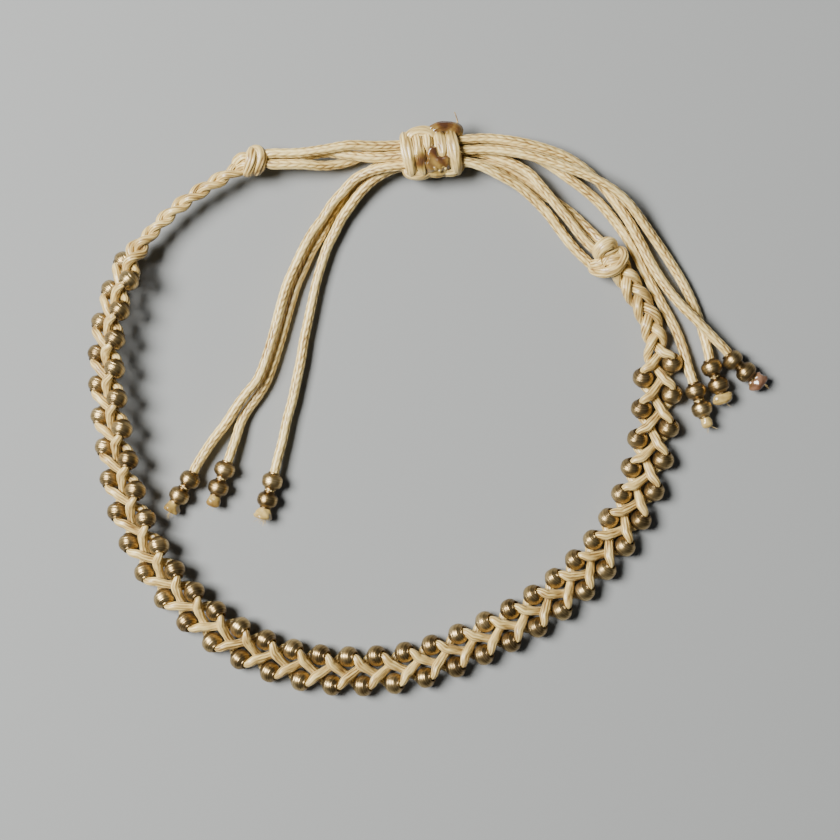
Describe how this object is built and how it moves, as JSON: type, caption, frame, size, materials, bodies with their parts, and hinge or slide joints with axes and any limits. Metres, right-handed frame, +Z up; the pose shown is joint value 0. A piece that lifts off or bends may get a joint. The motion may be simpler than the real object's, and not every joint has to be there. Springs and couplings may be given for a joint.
{
  "type": "macrame bracelet",
  "caption": "Adjustable macrame bracelet of cream waxed cord: a flat plait with small brass beads along both edges, closed by a sliding knot on loose cords with beaded tails.",
  "frame": {"origin": "on the plane the bracelet lies on, under the middle of the box round the loop without its six loose cords", "axes": "+Z up from that plane, +Y from the middle of the beaded plait towards the sliding knot, +X towards the side with the right overhand knot"},
  "size_m": [0.0643, 0.0541, 0.0045],
  "materials": {
    "brass_beads": "antique brass, satin, turned",
    "waxed_cord": "cream waxed cord with a soft sheen"
  },
  "bodies": {
    "root": {"beaded_braid_01": "brass_beads", "beaded_braid_02": "brass_beads", "beaded_braid_03": "brass_beads", "beaded_braid_04": "brass_beads", "beaded_braid_05": "brass_beads", "beaded_braid_06": "brass_beads", "beaded_braid_07": "brass_beads", "beaded_braid_08": "brass_beads", "beaded_braid_09": "brass_beads", "beaded_braid_10": "brass_beads", "beaded_braid_11": "brass_beads", "beaded_braid_12": "brass_beads", "plain_braid_left": "waxed_cord", "plain_braid_right": "waxed_cord", "overhand_knot_left": "waxed_cord", "overhand_knot_right": "waxed_cord", "sliding_knot": "waxed_cord", "left_cord_1": "waxed_cord", "left_cord_2": "waxed_cord", "left_cord_3": "waxed_cord", "right_cord_1": "waxed_cord", "right_cord_2": "waxed_cord", "right_cord_3": "waxed_cord", "tail_end_right_1": "brass_beads", "tail_end_right_2": "brass_beads", "tail_end_right_3": "brass_beads", "tail_end_left_1": "brass_beads", "tail_end_left_2": "brass_beads", "tail_end_left_3": "brass_beads"}
  },
  "joints": []
}
